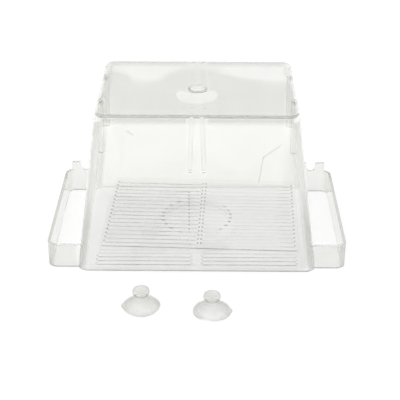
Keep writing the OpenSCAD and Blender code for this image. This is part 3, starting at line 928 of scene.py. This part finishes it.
# %% Slotted plate tree
PAST = 1 * MM        # how far a cutting shape runs past what it cuts
BITE = 0.01 * MM     # how far a foot runs into the plate
FOOT_SIDES = 24

plate, given, made = new_geometry_tree(
    "slotted_plate",
    FLOAT=["Width", "Depth", "Corner", "Plate", "Skirt Height", "Skirt Thickness", "Pitch",
           "Slot Width", "Bar", "Side Border", "Foot Pitch", "Foot Diameter"],
    INT=["Slots", "Feet"], VECTOR=["Place", "Turn"], MATERIAL=["Material"])
size = given.outputs
print("tree begun with", len(plate.interface.items_tree) - 1, "inputs")


# %% Helpers for the plate's tree
def slab_of(width, depth, corner, height):
    """A rounded slab in the plate's tree."""
    sizes = {"Width": width, "Depth": depth, "Corner": corner, "Height": height}
    return add(plate, "GeometryNodeGroup", sizes, node_tree=slab).outputs[0]


def half(value):
    """Half of a size."""
    return times(plate, value, 0.5)


def less(value, other):
    """A size less another one."""
    return calc(plate, "SUBTRACT", value, other)


def row_of(shape, count, start_x, pitch, z):
    """Copies of a shape in a row along Y, centred on the plate."""
    first = times(plate, less(count, 1), pitch, -0.5)
    line = add(plate, "GeometryNodeMeshLine",
               {"Count": count, "Start Location": vector(plate, start_x, first, z),
                "Offset": vector(plate, 0.0, pitch, 0.0)}, mode="OFFSET")
    copies = add(plate, "GeometryNodeInstanceOnPoints", {"Points": line.outputs[0], "Instance": shape})
    return add(plate, "GeometryNodeRealizeInstances", {0: copies.outputs[0]}).outputs[0]


def cut_or_add(operation, body, *tools):
    """A Boolean node: the body with the tools cut away or added."""
    node = add(plate, "GeometryNodeMeshBoolean", operation=operation, solver="EXACT")
    join(plate, body, node.inputs["Mesh 1" if operation == "DIFFERENCE" else "Mesh 2"])
    for tool in tools:
        join(plate, tool, node.inputs["Mesh 2"])
    return node.outputs["Mesh"]


print("plate helpers ready")

# %% Tray: a slab with a hollow under it
block = slab_of(size["Width"], size["Depth"], size["Corner"], size["Skirt Height"])
skirt = size["Skirt Thickness"]
double_skirt = times(plate, skirt, 2.0)
skirt_depth = less(size["Skirt Height"], size["Plate"])
hollow = slab_of(less(size["Width"], double_skirt), less(size["Depth"], double_skirt),
                 less(size["Corner"], skirt), plus(plate, skirt_depth, PAST))
lowered = add(plate, "GeometryNodeTransform", {"Geometry": hollow, "Translation": (0, 0, -PAST)})
tray = cut_or_add("DIFFERENCE", block, lowered.outputs[0])
print("tray ready:", len(plate.nodes), "nodes")

# %% Slots
half_width = half(size["Width"])
outer_end = less(half_width, size["Side Border"])
half_bar = half(size["Bar"])
slot_middle = half(plus(plate, outer_end, half_bar))
plate_middle = less(size["Skirt Height"], half(size["Plate"]))
slot_height = plus(plate, size["Plate"], 2 * PAST)
slot_size = vector(plate, less(outer_end, half_bar), size["Slot Width"], slot_height)
slot = add(plate, "GeometryNodeMeshCube", {"Size": slot_size}).outputs[0]
columns = [row_of(slot, size["Slots"], middle, size["Pitch"], plate_middle)
           for middle in (slot_middle, times(plate, slot_middle, -1.0))]
slotted = cut_or_add("DIFFERENCE", tray, *columns)
print("slots cut:", len(plate.nodes), "nodes")

# %% Feet
foot_radius = half(size["Foot Diameter"])
foot = add(plate, "GeometryNodeMeshCylinder",
           {"Vertices": FOOT_SIDES, "Radius": foot_radius, "Depth": plus(plate, skirt_depth, BITE)})
foot_x = less(half_width, plus(plate, foot_radius, half(skirt)))
feet = [row_of(foot.outputs["Mesh"], size["Feet"], place, size["Foot Pitch"], half(skirt_depth))
        for place in (foot_x, times(plate, foot_x, -1.0))]
whole = cut_or_add("UNION", slotted, *feet)
print("feet added:", len(plate.nodes), "nodes")

# %% Place and material of the plate
placed = add(plate, "GeometryNodeTransform",
             {"Geometry": whole, "Translation": size["Place"], "Rotation": size["Turn"]})
plain = add(plate, "GeometryNodeRealizeInstances", {0: placed.outputs[0]})
finish = add(plate, "GeometryNodeSetMaterial",
             {"Geometry": plain.outputs[0], "Material": size["Material"]})
join(plate, finish.outputs[0], made.inputs[0])
set_out(plate)
print("tree made:", plate.name, "with", len(plate.nodes), "nodes")

# %% Separator piece
separator = run_tree("separator_sheet", plate, dict(SEPARATOR, Material=sheet_face))
print("open edges in the separator:", clean_mesh(separator.data))
round_edges(separator, SHEET_ROUND)
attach(separator, "separator")
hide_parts("separator")
report(separator)

# %% [markdown]
# ## The suction cups
# A suction cup is soft moulded vinyl, so it is never a true turned shape: its thin rim
# waves a little and its dome dents. Each cup is turned from one profile, ring by ring,
# and every ring is then pushed out of true by a soft rule before it is subdivided.

# %% Cup profile
CUP_RIM, CUP_NECK = 12.0 * MM, 3.0 * MM
DOME_TOP, CUP_HOLLOW = 6.4 * MM, 3.0 * MM
KNOB_MIDDLE = 11.85 * MM                     # height of the knob's middle, a little below its edge
LIP, LIP_WIDTH = 0.4 * MM, 1.0 * MM          # thickness of the rim, and its flat width
LIP_SIDE, LIP_FOOT = 0.15 * MM, 0.02 * MM    # heights of the rim's widest point and of its foot
LIP_INSET = 0.35 * MM                        # how far the foot is drawn in
DOME_RINGS, HOLLOW_RINGS = 9, 8
DOME_BELLY, DOME_FALL = 0.78, 0.92           # how the dome widens and how it sinks, as powers
KNOB = [(1.2, 11.9), (2.6, 12.1), (3.9, 12.6), (4.7, 12.75), (5.25, 12.3), (5.35, 11.2),
        (5.3, 9.9), (4.9, 9.1), (3.9, 8.75), (3.05, 8.5), (2.95, 7.4)]     # radius and height, millimetres


def cup_profile():
    """Radius and height of each ring, from the knob's middle over the rim to the hollow's middle."""
    points = [(r * MM, z * MM) for r, z in KNOB]
    for i in range(1, DOME_RINGS + 1):
        t = 1 - i / DOME_RINGS
        points.append((CUP_NECK + (CUP_RIM - CUP_NECK) * (1 - t) ** DOME_BELLY,
                       LIP + (DOME_TOP - LIP) * t ** DOME_FALL))
    points += [(CUP_RIM, LIP_SIDE), (CUP_RIM - LIP_INSET, LIP_FOOT)]
    inner = CUP_RIM - LIP_WIDTH
    for i in range(HOLLOW_RINGS):
        r = inner * (1 - i / HOLLOW_RINGS)
        points.append((r, CUP_HOLLOW * (1 - (r / inner) ** 2)))
    return points


profile = cup_profile()
print("cup profile:", len(profile), "rings")

# %% [markdown]
# The vinyl is see-through in the middle and denser where it is seen at a grazing angle,
# in the thick knob and at the lip. A noise adds faint cloudy patches.

# %% Cup material
CUP_TINT = (0.40, 0.405, 0.34, 1)
FACING_BAND, MIDDLE_COVER, GRAZING_COVER = (0.1, 0.95), 0.06, 0.34
KNOB_RISE, KNOB_COVER = (7 * MM, 9 * MM), 0.10
LIP_RISE, LIP_COVER = (1.3 * MM, 0.6 * MM), 0.07
PATCH_SCALE, PATCH_BAND, PATCH_COVER = 170.0, (0.42, 0.62), 0.035
DIMPLE_SCALE, DIMPLE_DEPTH = 260.0, 0.15 * MM

soft_vinyl, tree = new_material("soft_cup")
spot = add(tree, "ShaderNodeTexCoord").outputs["Object"]
height = axes_of(tree, spot)[2]
facing = add(tree, "ShaderNodeLayerWeight", {"Blend": 0.5}).outputs["Facing"]
cover = plus(
    tree,
    step(tree, facing, *FACING_BAND, MIDDLE_COVER, GRAZING_COVER, smooth=False),
    step(tree, noise(tree, spot, PATCH_SCALE, detail=2.0), *PATCH_BAND, 0.0, PATCH_COVER),
    step(tree, height, *KNOB_RISE, 0.0, KNOB_COVER),
    step(tree, height, *LIP_RISE, 0.0, LIP_COVER),
)
dimples = noise(tree, spot, DIMPLE_SCALE, detail=3.0)
bump = add(tree, "ShaderNodeBump", {"Strength": 1.0, "Distance": DIMPLE_DEPTH, "Height": dimples})
vinyl = add(tree, "ShaderNodeBsdfPrincipled",
            {"Base Color": CUP_TINT, "Roughness": 0.28, "IOR": 1.45, "Alpha": cover,
             "Normal": bump.outputs[0]})
finish_material(tree, Surface=vinyl.outputs[0])
print("soft vinyl made:", len(tree.nodes), "nodes")

# %% One ring of a cup
CUP_SIDES = 48
LIP_WAVES = 3                                    # waves round the lip
TAB_REACH, TAB_WIDTH = 1.1 * MM, 9               # of the pull tab: past the lip, and in degrees
DENT_SPREAD = 260                                # of the dent, in square degrees
WAVE_PULL, DENT_PULL = 0.025, 0.05               # how far the lip is drawn in, as shares of the radius
WAVE_LIFT, DENT_LIFT = 0.5 * MM, 0.9 * MM        # how far the lip is lifted


def apart(turn, middle):
    """The turn from a middle turn, in degrees from -180 to 180."""
    return (math.degrees(turn) - middle + 180) % 360 - 180


def cup_ring(r, z, centre, tab_turn, dent_turn):
    """One ring of the profile, pushed out of true where it is near the lip."""
    reach = max(0.0, (r - CUP_NECK) / (CUP_RIM - CUP_NECK)) if z < DOME_TOP else 0.0
    ring = []
    for k in range(CUP_SIDES):
        turn = 2 * math.pi * k / CUP_SIDES
        wave = 0.5 + 0.5 * math.cos(LIP_WAVES * turn + math.radians(dent_turn))
        dent = math.exp(-apart(turn, dent_turn) ** 2 / DENT_SPREAD)
        tab = math.exp(-(apart(turn, tab_turn) / TAB_WIDTH) ** 4)
        drawn_in = (WAVE_PULL * wave + DENT_PULL * dent) * reach ** 2
        out_to = r * (1 - drawn_in) + TAB_REACH * tab * reach ** 8
        up_to = z + (WAVE_LIFT * wave + DENT_LIFT * dent) * reach ** 3 * (1 - tab)
        ring.append((centre[0] + out_to * math.cos(turn), centre[1] + out_to * math.sin(turn), up_to))
    return ring


print("each ring has", CUP_SIDES, "points")


# %% Cup maker
def make_cup(name, node, centre, tab_turn, dent_turn):
    """A soft cup on its CAD place, with its pull tab and one dent at the given turns in degrees."""
    work = bmesh.new()
    rings = []
    for r, z in profile:
        rings.append([work.verts.new(point) for point in cup_ring(r, z, centre, tab_turn, dent_turn)])
    for upper, lower in zip(rings, rings[1:]):
        for k in range(CUP_SIDES):
            after = (k + 1) % CUP_SIDES
            work.faces.new((upper[k], lower[k], lower[after], upper[after]))
    for ring, height, flip in ((rings[0], KNOB_MIDDLE, False), (rings[-1], CUP_HOLLOW, True)):
        middle = work.verts.new((centre[0], centre[1], height))
        for k in range(CUP_SIDES):
            pair = (ring[k], ring[(k + 1) % CUP_SIDES])
            work.faces.new((middle,) + (pair[::-1] if flip else pair))
    bmesh.ops.recalc_face_normals(work, faces=work.faces)
    mesh = bpy.data.meshes.new(name)
    work.to_mesh(mesh)
    work.free()
    mesh.materials.append(soft_vinyl)
    piece = new_piece(name, mesh)
    smooth = piece.modifiers.new("smooth", "SUBSURF")
    smooth.levels = smooth.render_levels = 2
    apply_modifiers(piece)
    piece.data.shade_smooth()
    low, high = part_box(node)
    for vertex in piece.data.vertices:
        for axis in range(3):
            vertex.co[axis] = min(max(vertex.co[axis], low[axis]), high[axis])
    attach(piece, node)
    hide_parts(node)
    report(piece)


print("cup maker ready")

# %% Both cups
CUP_LEFT_AT, CUP_RIGHT_AT = (-34 * MM, -98.2 * MM), (10 * MM, -103 * MM)

make_cup("soft_cup_left", "suction_cup_left", CUP_LEFT_AT, tab_turn=180, dent_turn=60)
make_cup("soft_cup_right", "suction_cup_right", CUP_RIGHT_AT, tab_turn=0, dent_turn=250)
print("cups stand at", CUP_LEFT_AT, "and", CUP_RIGHT_AT)
